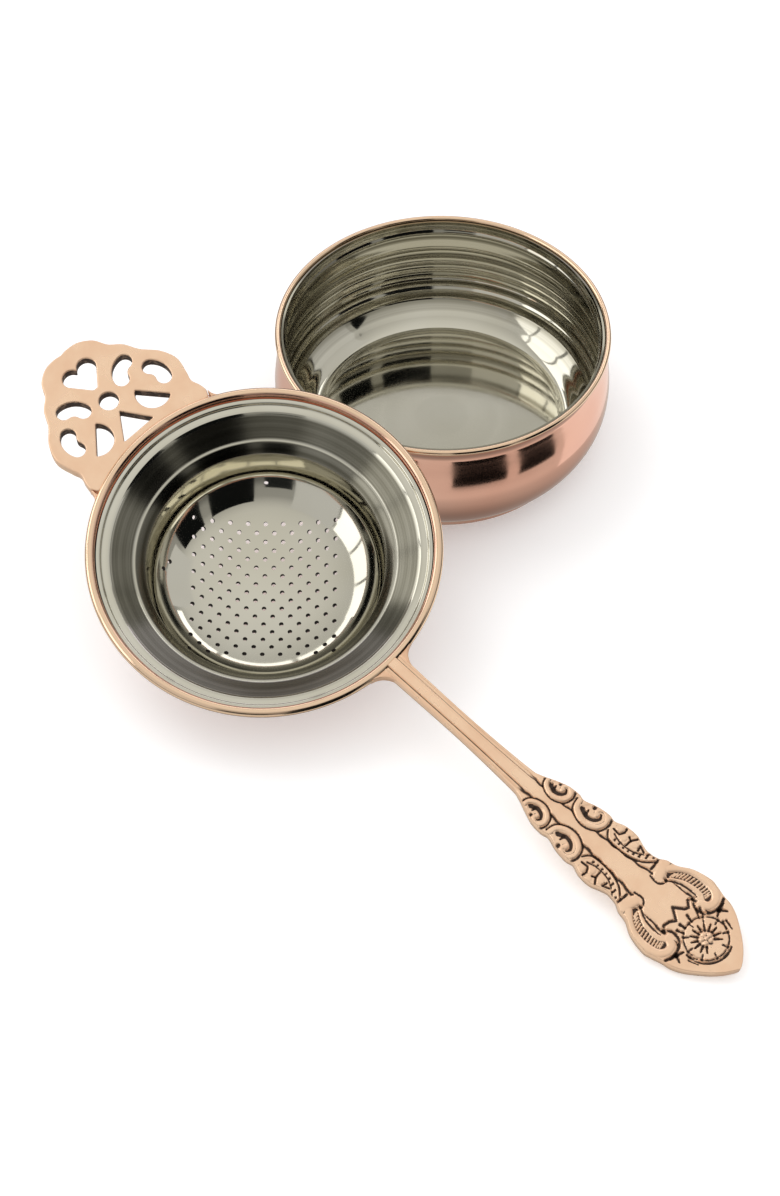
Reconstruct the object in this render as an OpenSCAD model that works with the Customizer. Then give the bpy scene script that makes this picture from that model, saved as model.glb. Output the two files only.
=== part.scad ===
// Tea strainer leaning on its drip bowl.
// The drip bowl stands on the table with its axis on +Z. The strainer is drawn upright in a frame
// of its own, rim plane at z = 0 and handle along +X, and placed() leans it on the bowl.

/* [Drip bowl] */
// Height from the table to the top of the lip
bowl_h = 26.5; // [25:0.5:30]
// Outside radius of the lip
bowl_lip_r = 33; // [31:0.5:35]
// Outside radius of the belly
bowl_belly_r = 33.4; // [31:0.2:36]
// Radius of the foot
bowl_foot_r = 28.2; // [25:0.2:29]
// Height of the crease above the foot
bowl_foot_h = 1.5; // [1:0.1:2.5]
// Height of the steel floor above the table
bowl_floor_z = 1.3; // [1:0.1:2]

/* [Strainer bowl] */
// Outside radius of the rim
rim_r = 33.1; // [31:0.1:35]
// Radius of the rim's rolled bead
bead_r = 0.9; // [0.7:0.05:1.1]
// Inside radius of the cup at its mouth
mouth_r = 22.2; // [20:0.1:24]
// Depth of the cup's mouth below the rim
mouth_depth = 6.2; // [5.8:0.1:6.4]
// Depth of the cup's floor below the rim
cup_depth = 20.2; // [20:0.1:21]
// Radius of the cup's dished floor
dish_r = 16; // [15:0.5:17]
// Radius that the floor's dish is struck from
dish_sphere_r = 45; // [42:1:48]

/* [Perforation] */
// Diameter of each punched hole
hole_d = 0.9; // [0.6:0.05:1.2]
// Pitch of the square grid of holes
hole_pitch = 2.39; // [2:0.01:2.39]
// Grid steps from the middle hole to each corner of the diamond
hole_steps = 8; // [3:1:8]
// Turn of the grid about the strainer's axis
grid_turn = -1.4; // [-5:0.1:5]

/* [Sheet] */
// Thickness of the copper skins
copper_t = 0.5; // [0.4:0.05:0.6]
// Thickness of the steel skins
steel_t = 0.4; // [0.3:0.05:0.5]
// Air between a copper skin and its steel skin
skin_gap = 0.15; // [0.1:0.01:0.2]

/* [Handle] */
// Distance from the strainer's axis to the handle's tip
tip_x = 115.6; // [110:0.2:120]
// Thickness of the handle's plate
handle_t = 1.7; // [1.4:0.1:2.2]
// Height of the handle's raised ornament
relief_h = 0.45; // [0.3:0.05:0.6]
// Rise of the tip above the rim plane
tip_lift = 2.9; // [2.5:0.1:3.4]

/* [Lug] */
// Thickness of the pierced lug
lug_t = 2.4; // [1.8:0.1:2.6]
// Turn of the lug from dead opposite the handle
lug_turn = -1.4; // [-5:0.1:5]

/* [Resting pose] */
// Tilt of the strainer's rim towards the front
tilt = 16.85; // [16:0.05:18]
// Turn of the handle from +X
handle_turn = -43.9; // [-60:0.1:-30]
// Sideways distance from the bowl's axis to the strainer's
lean_x = -33.6; // [-36:0.1:-33]
// Forward distance from the bowl's axis to the strainer's
lean_y = -53; // [-56:0.1:-52.5]

/* [Hidden] */
$fn = 96;

touch = 0.02;        // what keeps two touching solids from sharing volume
table_gap = 0.05;    // air under the leaning strainer's lowest point
lip_r = 0.55;        // radius of the drip bowl's rounded lip
wall_t = copper_t + skin_gap;
cup_t = wall_t + steel_t;
bead_x = rim_r - bead_r;
handle_top = 0.5;    // top of the plain handle plate above the rim plane at the stem
lift_start = 58;     // distance from the axis at which the handle starts to rise
ornament_z = handle_top + relief_h;
grid_middle = [-0.3, -0.9];  // place of the grid's middle hole
stray_holes = [[-14.4, 14.0], [-15.9, -12.1], [-16.3, -10.1]];
punch_l = 3;         // length of each punch, well over the two skins it goes through
flank_r = 21.2;      // distance from the axis at which the cup's flank meets its corner
flank_slope = 50;    // slope of the cup's flank there
wall_slope = 84;     // slope of the cup's wall at its mouth
mouth_lip = 0.6;     // how far the cup's wall leans inside its mouth
clear_h = 12;        // height of the tool that trims handle and lug to the rim

// ---- curves -------------------------------------------------------------------------------

function unit(v) = v / norm(v);
function reversed(p) = [for (i = [len(p) - 1 : -1 : 0]) p[i]];
function last(p) = p[len(p) - 1];

// One point of the smooth span from b to c, between its neighbours a and d
function span(a, b, c, d, t) = 0.5 * (2 * b + (c - a) * t + (2 * a - 5 * b + 4 * c - d) * t * t
                                      + (3 * b - a - 3 * c + d) * t * t * t);

// A smooth curve through the points p, with n steps to a span
function smooth(p, n) = concat(
    [for (i = [0 : len(p) - 2], k = [0 : n - 1])
        span(p[max(i - 1, 0)], p[i], p[i + 1], p[min(i + 2, len(p) - 1)], k / n)],
    [last(p)]);

// An arc about c, from angle a0 to a1
function arc(c, r, a0, a1, n = 10) =
    [for (k = [0 : n]) let (a = a0 + (a1 - a0) * k / n) c + r * [cos(a), sin(a)]];

// The direction of the path p at point i, and the path moved t to its left
function heading(p, i) = unit(p[min(i + 1, len(p) - 1)] - p[max(i - 1, 0)]);
function moved(p, t) = [for (i = [0 : len(p) - 1]) let (h = heading(p, i)) p[i] + t * [-h[1], h[0]]];

// A closed outline between two paths that run the same way
function between(outer, inner) = concat(outer, reversed(inner));

// ---- drip bowl ----------------------------------------------------------------------------

// The side of the bowl from its foot's crease to its lip, moved in by t
function bowl_side(t) = moved(smooth([
    [bowl_foot_r + 0.5, bowl_foot_h + 0.3],
    [bowl_belly_r - 2.1, 5],
    [bowl_belly_r - 0.45, 8.8],
    [bowl_belly_r, 12.8],
    [bowl_belly_r - 0.35, 17],
    [bowl_lip_r - 0.85, bowl_h - 5],
    [bowl_lip_r - 1.1, bowl_h - 3],
    [bowl_lip_r - 0.5, bowl_h - 1]], 5), t);

foot_path = concat([[0, 0]], arc([bowl_foot_r - 0.6, 0.6], 0.6, -90, 0, 5),
                   [[bowl_foot_r + 0.1, bowl_foot_h]]);
bowl_outside = concat(foot_path, bowl_side(0));
bowl_inside = concat([[0, copper_t], [bowl_foot_r - 0.6, copper_t],
                      [bowl_foot_r - copper_t, bowl_foot_h + 0.4]], bowl_side(copper_t));

module bowl_shell() {
    color([0.80, 0.50, 0.40])
    rotate_extrude() {
        polygon(between(bowl_outside, bowl_inside));
        translate([bowl_lip_r - lip_r, bowl_h - lip_r]) circle(lip_r, $fn = 24);
    }
}

// The steel skin follows the copper one, with turned ridges on its inner face
liner_corner = [bowl_foot_r - 2.4, bowl_floor_z];
liner_wall = [for (p = bowl_side(wall_t)) if (p[1] > 5 && p[1] < bowl_h - 1.3) p];
liner_outside = concat([[0, bowl_floor_z]],
                       smooth(concat([liner_corner - [2, 0], liner_corner,
                                      liner_corner + [2.6, 1.9]], [liner_wall[0]]), 4),
                       [for (i = [1 : len(liner_wall) - 1]) liner_wall[i]],
                       [[bowl_lip_r - 1.25, bowl_h - 0.6]]);
ridge_zs = [6.5, 9, 15, 18, 20.5, 23];
function ridge(z) = max([for (c = ridge_zs) exp(-pow((z - c) / 0.45, 2))]) * 0.28;
liner_face = moved(liner_outside, steel_t);
liner_inside = [for (p = liner_face) p - [p[0] > bowl_foot_r ? ridge(p[1]) : 0, 0]];

module bowl_liner() {
    color([0.72, 0.70, 0.62])
    rotate_extrude() polygon(between(liner_outside, liner_inside));
}

// ---- strainer bowl ------------------------------------------------------------------------

// Radius of an arc whose slope goes from a0 to a1 between the distances r0 and r1 from the axis
function bend(r0, r1, a0, a1) = (r1 - r0) / (sin(a1) - sin(a0));

// The cup's floor is a shallow dish. A flank steepens it, and a tight corner leads to the wall.
dish_slope = asin(dish_r / dish_sphere_r);
flank_bend = bend(dish_r, flank_r, dish_slope, flank_slope);
corner_bend = bend(flank_r, mouth_r - mouth_lip, flank_slope, wall_slope);
dish_c = [0, dish_sphere_r - cup_depth];
flank_c = dish_c + (dish_sphere_r - flank_bend) * [sin(dish_slope), -cos(dish_slope)];
corner_c = flank_c + (flank_bend - corner_bend) * [sin(flank_slope), -cos(flank_slope)];
cup_face = concat(
    arc(dish_c, dish_sphere_r, -90, dish_slope - 90, 8),
    arc(flank_c, flank_bend, dish_slope - 87, flank_slope - 90, 8),
    arc(corner_c, corner_bend, flank_slope - 80, wall_slope - 90, 4));

// The saucer above the cup: a shoulder at the mouth, a hollow band, then two turned steps
saucer_face = concat(
    smooth([[mouth_r, -mouth_depth - 1.2], [mouth_r + 0.15, -mouth_depth - 0.15],
            [mouth_r + 0.5, -mouth_depth + 0.25], [24.1, -4.65], [24.6, -4.5],
            [26.6, -3.2], [28.6, -1.9]], 4),
    [[28.9, -1.55], [29.4, -1.4], [30.2, -1.3], [30.4, -0.75], [31.1, -0.6]]);
steel_face = concat(cup_face, saucer_face);

// The copper skin runs smoothly under the steps
copper_face = concat(
    [for (p = moved(cup_face, -steel_t - skin_gap)) [max(p[0], 0), p[1]]],
    smooth([[mouth_r + 0.55, -mouth_depth - 1.6], [mouth_r + 0.95, -mouth_depth - 0.75],
            [24.6, -5.5], [26.6, -4.3], [28.2, -3.4], [29.4, -2.7], [30.5, -1.9], [31.2, -1.35]], 4),
    [[bead_x - bead_r * 0.8, -bead_r * 0.6]]);

// The place of the hole that is i and j steps from the grid's middle one
function grid_point(i, j) = grid_middle + hole_pitch * [i * cos(grid_turn) - j * sin(grid_turn),
                                                        i * sin(grid_turn) + j * cos(grid_turn)];

// Slope and height of the cup's face at distance r from the axis, as far as the flank goes
function cup_slope(r) = r < dish_r ? asin(r / dish_sphere_r) : asin((r - flank_c[0]) / flank_bend);
function cup_z(r) = r < dish_r ? dish_c[1] - dish_sphere_r * cos(cup_slope(r))
                               : flank_c[1] - flank_bend * cos(cup_slope(r));

// A hole punched square to the cup's face
module punch(p) {
    r = norm(p);
    translate([p[0], p[1], cup_z(r)])
    rotate([0, 0, atan2(p[1], p[0])])
    rotate([0, -cup_slope(r), 0])
    cylinder(h = punch_l, d = hole_d, center = true, $fn = 16);
}

// The holes stand on a square grid cut to a diamond, with a few strays outside it
module punches() {
    for (i = [-hole_steps : hole_steps], j = [abs(i) - hole_steps : hole_steps - abs(i)])
        punch(grid_point(i, j));
    for (p = stray_holes) punch(p);
}

module strainer_shell() {
    color([0.80, 0.50, 0.40])
    placed() difference() {
        rotate_extrude() {
            polygon(between(moved(copper_face, -copper_t), copper_face));
            translate([bead_x, 0]) circle(bead_r, $fn = 24);
        }
        punches();
    }
}

module strainer_liner() {
    color([0.72, 0.70, 0.62])
    placed() difference() {
        rotate_extrude() polygon(between(moved(steel_face, -steel_t), steel_face));
        punches();
    }
}

// ---- handle -------------------------------------------------------------------------------

// How far the handle has risen at distance x from the axis
function lift(x) = x < lift_start ? 0 : tip_lift * pow((x - lift_start) / (tip_x - lift_start), 2);

// A 2D shape standing between two heights above the handle's rising middle line
module standing(low, high) {
    step = 4;
    reach = 30;
    stations = [rim_r - step : step : tip_x + step];
    intersection() {
        linear_extrude(2 * reach, center = true) children();
        rotate([90, 0, 0]) linear_extrude(2 * reach, center = true)
            polygon(concat([for (x = stations) [x, lift(x) + low]],
                           reversed([for (x = stations) [x, lift(x) + high]])));
    }
}

// Half the handle's outline, from the stem to the tip
handle_edge = smooth([
    [rim_r - 1.5, 2.3], [40, 2.15], [52, 2.1], [64, 2.5], [69, 3.8], [75, 5.0],
    [80, 5.7], [85, 6.3], [90, 5.5], [94, 6.5], [98, 8.3], [101.5, 8.9],
    [105, 8.2], [109, 6.8], [112, 4.4], [tip_x - 1, 1.6], [tip_x, 0]], 4);

// Half the smooth raised panel down the middle
panel_edge = smooth([
    [rim_r - 1.5, 1.05], [52, 1.0], [66, 1.25], [80, 1.5],
    [88, 1.9], [94, 2.6], [98, 3.6], [101, 4.0]], 4);

module mirrored_outline(edge) polygon(concat(edge, reversed([for (p = edge) [p[0], -p[1]]])));

module both_sides() {
    children();
    mirror([0, 1]) children();
}

module ring_2d(r, w) {
    difference() {
        circle(r, $fn = 32);
        circle(r - w, $fn = 32);
    }
}

module rim_clearance() {
    cylinder(h = clear_h, r = rim_r + touch, center = true, $fn = 360);
}

module handle() {
    scroll_xs = [72.3, 78.9];
    flower_x = 107.6;
    petals = 8;
    petal_r = 2.5;
    petal_w = 1.5;
    color([0.86, 0.66, 0.52])
    placed() difference() {
        union() {
            standing(handle_top - handle_t, handle_top) mirrored_outline(handle_edge);
            standing(handle_top - 0.1, ornament_z) mirrored_outline(panel_edge);
            standing(handle_top - 0.1, ornament_z) both_sides()
                for (x = scroll_xs) translate([x, 3.2]) ring_2d(1.9, 0.6);
            standing(handle_top - 0.1, ornament_z) translate([flower_x, 0]) {
                ring_2d(4.3, 0.5);
                circle(1.2, $fn = 24);
                for (k = [0 : petals - 1])
                    rotate(k * 360 / petals) translate([petal_r, 0]) circle(petal_w / 2, $fn = 24);
            }
        }
        rim_clearance();
    }
}

// The flared fillets of solder that carry the stem's root onto the rim
module handle_braze() {
    fillet_r = 3;
    root_y = 2.3;
    inset = 0.2;
    color([0.84, 0.60, 0.46])
    placed() difference() {
        translate([0, 0, handle_top - handle_t + inset]) linear_extrude(handle_t - 2 * inset)
            both_sides() difference() {
                translate([rim_r - 2, root_y + touch]) square([fillet_r + 1.8, fillet_r]);
                translate([rim_r - 0.2 + fillet_r, root_y + fillet_r]) circle(fillet_r, $fn = 192);
            }
        rim_clearance();
        linear_extrude(20, center = true) mirrored_outline(handle_edge);
    }
}

// ---- lug ----------------------------------------------------------------------------------

// Half the lug's scalloped outline, from the rim to its end
lug_edge = smooth([
    [29, 14], [31.2, 14.7], [33, 14.6], [34.8, 14.1], [36.8, 14.7],
    [40.2, 15.4], [43.6, 14.2], [46.6, 11.7], [49.6, 10.1], [51.6, 8.0],
    [54.2, 6.6], [55.9, 4.2], [56.3, 1.8], [56.1, 0]], 5);

// A crescent with round ends: part of a ring of radius r, 2 w wide, a degrees to each side
function bean(r, w, a) = concat(
    arc([0, 0], r + w, -a, a, 12), arc(r * [cos(a), sin(a)], w, a, a + 180, 8),
    arc([0, 0], r - w, a, -a, 8), arc(r * [cos(a), -sin(a)], w, 180 - a, 360 - a, 8));

// A heart with its lobes towards the lug's end and its blunt point towards the rim
heart = concat([[46.2, -0.5]], arc([50.8, -1.8], 1.9, -115, 60, 10), [[51.5, 0]],
               arc([50.8, 1.8], 1.9, -60, 115, 10), [[46.2, 0.5]]);
half_moon = arc([0, 0], 3.4, 0, 180, 16);
arrow = [[39.5, 0], [34.1, 3.7], [34.1, -3.7]];

module lug_windows() {
    polygon(heart);
    polygon(arrow);
    translate([42.5, 0]) circle(1.9, $fn = 32);
    both_sides() {
        translate([43.6, 7.8]) rotate(-40) polygon(bean(3.0, 1.5, 38));
        translate([40.3, 8.4]) rotate(80) polygon(bean(2.9, 1.5, 36));
        translate([38.1, 7.2]) rotate(140) polygon(half_moon);
    }
}

module lug_plate(grow = 0) {
    rotate([0, 0, 180 + lug_turn])
    translate([0, 0, handle_top - lug_t - grow])
    linear_extrude(lug_t + 2 * grow)
        children();
}

module lug() {
    color([0.86, 0.66, 0.52])
    placed() difference() {
        lug_plate() difference() {
            mirrored_outline(lug_edge);
            lug_windows();
        }
        rim_clearance();
    }
}

// Solder along the lug's two shoulders, where its edge runs into the rim
module lug_braze() {
    bead = 1.1;
    inset = 0.3;
    shoulder_angle = 27.3;
    color([0.84, 0.60, 0.46])
    placed() difference() {
        for (s = [-1, 1]) rotate([0, 0, 180 + lug_turn + s * shoulder_angle])
            translate([rim_r + 0.1, 0, handle_top - lug_t + inset])
                cylinder(h = lug_t - 2 * inset, r = bead, $fn = 192);
        rim_clearance();
        lug_plate(1) mirrored_outline(lug_edge);
    }
}

// ---- resting pose -------------------------------------------------------------------------

// The cup's copper floor is the strainer's lowest point, where its slope equals the tilt
low_r = (dish_sphere_r + cup_t) * sin(tilt);
low_z = dish_c[1] - (dish_sphere_r + cup_t) * cos(tilt);
lean_z = table_gap + low_r * sin(tilt) - low_z * cos(tilt);

module placed() {
    translate([lean_x, lean_y, lean_z]) rotate([tilt, 0, 0]) rotate([0, 0, handle_turn]) children();
}

bowl_shell();
bowl_liner();
strainer_shell();
strainer_liner();
handle();
handle_braze();
lug();
lug_braze();
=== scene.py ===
"""A copper tea strainer with steel linings, leaning on its drip bowl.

Lengths are millimetres until a mesh is made, which turns them into metres. The drip bowl's foot
stands at the origin. The strainer's pieces are made upright, with their rim plane at z = 0 and
the handle along +X, and pose() leans them on the bowl as the CAD model does.
"""

import math

import bpy
import numpy as np
from mathutils import Matrix, Vector
from mathutils.geometry import delaunay_2d_cdt


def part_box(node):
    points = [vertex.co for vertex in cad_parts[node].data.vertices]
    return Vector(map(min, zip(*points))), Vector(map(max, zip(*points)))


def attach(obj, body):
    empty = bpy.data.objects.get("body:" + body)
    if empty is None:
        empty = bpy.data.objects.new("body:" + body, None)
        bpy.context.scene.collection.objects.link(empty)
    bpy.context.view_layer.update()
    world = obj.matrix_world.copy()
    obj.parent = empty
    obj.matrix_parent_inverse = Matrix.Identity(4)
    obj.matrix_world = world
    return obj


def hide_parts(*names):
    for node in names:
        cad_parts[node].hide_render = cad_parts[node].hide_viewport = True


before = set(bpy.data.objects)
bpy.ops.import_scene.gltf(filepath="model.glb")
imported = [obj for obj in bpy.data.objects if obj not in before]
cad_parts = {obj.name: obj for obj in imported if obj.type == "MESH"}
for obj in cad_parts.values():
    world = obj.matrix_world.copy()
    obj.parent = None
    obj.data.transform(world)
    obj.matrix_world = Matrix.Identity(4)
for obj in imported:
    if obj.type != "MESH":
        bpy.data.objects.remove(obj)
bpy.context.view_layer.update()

MM = 0.001

# ---- sizes -------------------------------------------------------------------

bowl_low, bowl_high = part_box("bowl_shell")
rim_low, rim_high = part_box("strainer_shell")

COPPER_T = 0.5
STEEL_T = 0.4
SKIN_GAP = 0.15

BOWL_H = bowl_high.z / MM
BELLY_R = (bowl_high.x - bowl_low.x) / 2 / MM
BOWL_LIP_R = BELLY_R - 0.4
BOWL_FOOT_R = 28.2
BOWL_FOOT_H = 1.5
BOWL_FLOOR_Z = 1.3
LIP_R = 0.55

RIM_R = (rim_high.x - rim_low.x) / 2 / MM
BEAD_R = 0.9
BEAD_X = RIM_R - BEAD_R
MOUTH_R = 22.2
MOUTH_DEPTH = 6.2
MOUTH_LIP = 0.6
CUP_DEPTH = 20.2
DISH_R = 16.0
DISH_SPHERE_R = 45.0
FLANK_R = 21.2
FLANK_SLOPE = math.radians(50)
WALL_SLOPE = math.radians(84)

HOLE_R = 0.45
HOLE_PITCH = 2.39
HOLE_STEPS = 8
GRID_TURN = math.radians(-1.4)
GRID_MIDDLE = (-0.3, -0.9)
STRAY_HOLES = ((-14.4, 14.0), (-15.9, -12.1), (-16.3, -10.1))
PUNCHED_R = 21.0

TIP_X = 115.6
PLATE_TOP = 0.5
HANDLE_T = 1.7
HANDLE_ROUND = 0.45
TOP_POINTS = 145  # points across the handle's top
UNDER_POINTS = 25
RELIEF_H = 0.45
FIELD_H = 0.78  # height of the ornament's field, as a part of the relief's
TIP_LIFT = 2.9
LIFT_START = 58.0
STEM_END = 64.0
FLOWER_X = 107.8

LUG_T = 2.4
LUG_ROUND = 0.3
LUG_TURN = math.radians(180 - 1.4)

TILT = math.radians(16.85)
HANDLE_TURN = math.radians(-43.9)

TURNS = 256  # steps round each turned piece
STEP_SPANS = 4  # spans of the saucer's turned steps
STEP_CUTS = 5  # points to a span of them


def pose():
    """Where the strainer's own frame stands: its rim's centre, tilt and turn."""
    x = (rim_low.x + rim_high.x) / 2
    y = (rim_low.y + rim_high.y) / 2
    z = rim_high.z - (BEAD_X * math.sin(TILT) + BEAD_R) * MM
    lean = Matrix.Rotation(TILT, 4, "X") @ Matrix.Rotation(HANDLE_TURN, 4, "Z")
    return Matrix.Translation((x, y, z)) @ lean


# ---- curves ------------------------------------------------------------------


def smooth(points, steps=12):
    """A smooth curve through the points, as an array."""
    p = np.array([points[0], *points, points[-1]], float)
    t = np.linspace(0, 1, steps, endpoint=False)[:, None]
    spans = []
    for a, b, c, d in zip(p[:-3], p[1:-2], p[2:-1], p[3:]):
        square = 2 * a - 5 * b + 4 * c - d
        cube = 3 * b - a - 3 * c + d
        spans.append(0.5 * (2 * b + (c - a) * t + square * t**2 + cube * t**3))
    return np.vstack([*spans, p[-1]])


def arc(centre, radius, start, end, steps=24):
    """An arc from one angle to another, in degrees."""
    a = np.radians(np.linspace(start, end, steps + 1))
    return np.array(centre) + radius * np.stack([np.cos(a), np.sin(a)], 1)


def chain(*paths):
    """Paths joined end to end."""
    return np.vstack([np.array(p, float).reshape(-1, 2) for p in paths])


def moved(path, distance):
    """The path moved to its left."""
    ahead = np.gradient(path, axis=0)
    ahead /= np.linalg.norm(ahead, axis=1)[:, None]
    return path + distance * np.stack([-ahead[:, 1], ahead[:, 0]], 1)


def turn_2d(angle):
    """The matrix of a turn in the plane."""
    return np.array([[math.cos(angle), -math.sin(angle)], [math.sin(angle), math.cos(angle)]])


def lengths_along(path):
    """How far along the path each of its points is."""
    return np.r_[0, np.cumsum(np.linalg.norm(np.diff(path, axis=0), axis=1))]


def even(path, step):
    """The path cut again into steps of about one length."""
    path = path[np.r_[True, np.linalg.norm(np.diff(path, axis=0), axis=1) > 1e-6]]
    along = lengths_along(path)
    want = np.linspace(0, along[-1], max(2, round(along[-1] / step) + 1))
    return np.stack([np.interp(want, along, path[:, i]) for i in (0, 1)], 1)


# ---- meshes ------------------------------------------------------------------


def put_in_scene(name, data):
    """A new object in the scene."""
    thing = bpy.data.objects.new(name, data)
    bpy.context.scene.collection.objects.link(thing)
    return thing


def make_object(name, points, faces, material, sharp=40):
    """A smooth-shaded object from points in millimetres."""
    mesh = bpy.data.meshes.new(name)
    mesh.from_pydata((np.asarray(points) * MM).tolist(), [], faces)
    mesh.validate()
    mesh.update()
    mesh.shade_smooth()
    mesh.set_sharp_from_angle(angle=math.radians(sharp))
    mesh.materials.append(material)
    return put_in_scene(name, mesh)


def stand_for(piece, node, body, stand=None):
    """The piece takes a CAD node's place on its body. Its materials keep to its own upright frame,
    which the mesh remembers as it is moved to where it stands.
    """
    mesh = piece.data
    upright = mesh.attributes.new("upright", "FLOAT_VECTOR", "POINT")
    upright.data.foreach_set("vector", np.array([v.co for v in mesh.vertices], np.float32).ravel())
    if stand is not None:
        mesh.transform(stand)
        mesh.update()
    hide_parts(node)
    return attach(piece, body)


def rings(path):
    """The points of a path turned round the axis, ring by ring."""
    a = np.linspace(0, 2 * math.pi, TURNS, endpoint=False)
    r, z = path[:, :1], path[:, 1:]
    return np.stack([r * np.cos(a), r * np.sin(a), z + 0 * a], 2).reshape(-1, 3)


def ring_faces(count, first=0):
    """The quads between rings that follow each other, inside on the left of the path."""
    i, j = np.meshgrid(np.arange(count - 1), np.arange(TURNS), indexing="ij")
    k = (j + 1) % TURNS
    quads = np.stack([i * TURNS + j, i * TURNS + k, (i + 1) * TURNS + k, (i + 1) * TURNS + j], 2)
    return (quads.reshape(-1, 4) + first).tolist()


def turned(name, path, material):
    """A solid turned about the axis, from a path that starts and ends on the axis."""
    inner = path[1:-1]
    points = np.vstack([rings(inner), [[0, 0, path[0][1]], [0, 0, path[-1][1]]]])
    start, end = len(points) - 2, len(points) - 1
    base = (len(inner) - 1) * TURNS
    faces = ring_faces(len(inner))
    faces += [(start, (j + 1) % TURNS, j) for j in range(TURNS)]
    faces += [(end, base + j, base + (j + 1) % TURNS) for j in range(TURNS)]
    return make_object(name, points, faces, material)


# ---- materials ---------------------------------------------------------------

COPPER_PALE, COPPER_WARM = (0.87, 0.53, 0.41), (0.80, 0.43, 0.32)
COPPER_ROUGHNESS, COPPER_LINES = 0.07, 0.0000012
# Paler copper painted on the rolled rims as a highlight.
RIM_PAINTED_HIGHLIGHT = (0.96, 0.70, 0.50)
RIM_BLEND = 0.4

STEEL_PALE, STEEL_WARM = (0.72, 0.70, 0.62), (0.66, 0.635, 0.54)
STEEL_ROUGHNESS, STEEL_LINES = 0.045, 0.0000010
# Dark colour painted into the drip bowl's wall as reflected streaks.
PAINTED_REFLECTION_DARK = (0.16, 0.145, 0.10)
# Dark colour painted into the saucer's hollow band as reflection.
BAND_PAINTED_REFLECTION_DARK = (0.075, 0.07, 0.048)
BAND_START, BAND_END = (MOUTH_R, MOUTH_R + 0.4), (28.2, 28.8)
STEP_START, STEP_END = (24.1, 24.3), (24.6, 24.9)

CAST_PALE, CAST_WARM = (0.98, 0.70, 0.49), (0.92, 0.61, 0.41)
BRAZE_PALE, BRAZE_WARM = (0.93, 0.62, 0.42), (0.84, 0.52, 0.34)
PATINA = (0.055, 0.032, 0.022)
UNDER_PATINA = 0.12  # how much of it the handle's underside carries


class Nodes:
    """A material and short ways to add nodes to it."""

    def __init__(self, name, **sockets):
        self.material = bpy.data.materials.new(name)
        self.material.use_nodes = True
        self.tree = self.material.node_tree
        self.shader = self.tree.nodes["Principled BSDF"]
        for socket, value in sockets.items():
            self.shader.inputs[socket.replace("_", " ")].default_value = value

    def add(self, kind, **settings):
        node = self.tree.nodes.new(kind)
        for key, value in settings.items():
            setattr(node, key, value)
        return node

    def link(self, source, target):
        self.tree.links.new(source, target)
        return target

    def math(self, operation, a, b=0.0):
        node = self.add("ShaderNodeMath", operation=operation)
        for socket, value in zip(node.inputs, (a, b)):
            if isinstance(value, (int, float)):
                socket.default_value = value
            else:
                self.link(value, socket)
        return node.outputs[0]

    def place(self):
        """A point's place in its piece's own upright frame."""
        return self.add("ShaderNodeAttribute", attribute_name="upright").outputs["Vector"]

    def split_place(self):
        split = self.add("ShaderNodeSeparateXYZ")
        self.link(self.place(), split.inputs[0])
        return split.outputs

    def radius(self):
        """Distance from the piece's axis, in metres."""
        x, y, _ = self.split_place()
        squares = self.math("ADD", self.math("MULTIPLY", x, x), self.math("MULTIPLY", y, y))
        return self.math("SQRT", squares)

    def height(self):
        """Height in the piece's own frame, in metres."""
        return self.split_place()[2]

    def profile(self):
        """Coordinates that change only along a turned surface's profile: radius and height."""
        join = self.add("ShaderNodeCombineXYZ")
        self.link(self.radius(), join.inputs["X"])
        self.link(self.height(), join.inputs["Z"])
        return join.outputs[0]

    def noise(self, place, scale, detail=3.0, roughness=0.6):
        node = self.add("ShaderNodeTexNoise")
        node.inputs["Scale"].default_value = scale
        node.inputs["Detail"].default_value = detail
        node.inputs["Roughness"].default_value = roughness
        self.link(place, node.inputs["Vector"])
        return node.outputs["Fac"]

    def ramp(self, value, low, high, at=(0.3, 0.7)):
        """The value spread from one number or colour to another."""
        node = self.add("ShaderNodeMapRange" if isinstance(low, (int, float)) else "ShaderNodeValToRGB")
        if isinstance(low, (int, float)):
            for socket, number in zip(node.inputs[1:5], (*at, low, high)):
                socket.default_value = number
            self.link(value, node.inputs[0])
            return node.outputs[0]
        stops = node.color_ramp.elements
        stops[0].position, stops[1].position = at
        stops[0].color, stops[1].color = (*low, 1), (*high, 1)
        self.link(value, node.inputs[0])
        return node.outputs["Color"]

    def past(self, distance, start, end):
        """0 before the start and 1 past the end, both in millimetres."""
        return self.ramp(distance, 0.0, 1.0, (start * MM, end * MM))

    def within(self, distance, rise, fall):
        """1 between a rise and a fall and 0 outside, each a pair of distances in millimetres."""
        before = self.ramp(distance, 1.0, 0.0, (fall[0] * MM, fall[1] * MM))
        return self.math("MULTIPLY", self.past(distance, *rise), before)

    def mix(self, factor, a, b):
        """Colour a where the factor is 0, and b where it is 1."""
        node = self.add("ShaderNodeMix", data_type="RGBA")
        self.link(factor, node.inputs["Factor"])
        for socket, value in ((node.inputs["A"], a), (node.inputs["B"], b)):
            if isinstance(value, tuple):
                socket.default_value = (*value, 1)
            else:
                self.link(value, socket)
        return node.outputs["Result"]

    def bump(self, height, distance, after=None):
        node = self.add("ShaderNodeBump")
        node.inputs["Distance"].default_value = distance
        node.inputs["Strength"].default_value = 1.0
        self.link(height, node.inputs["Height"])
        if after is not None:
            self.link(after, node.inputs["Normal"])
        return node.outputs["Normal"]


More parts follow.
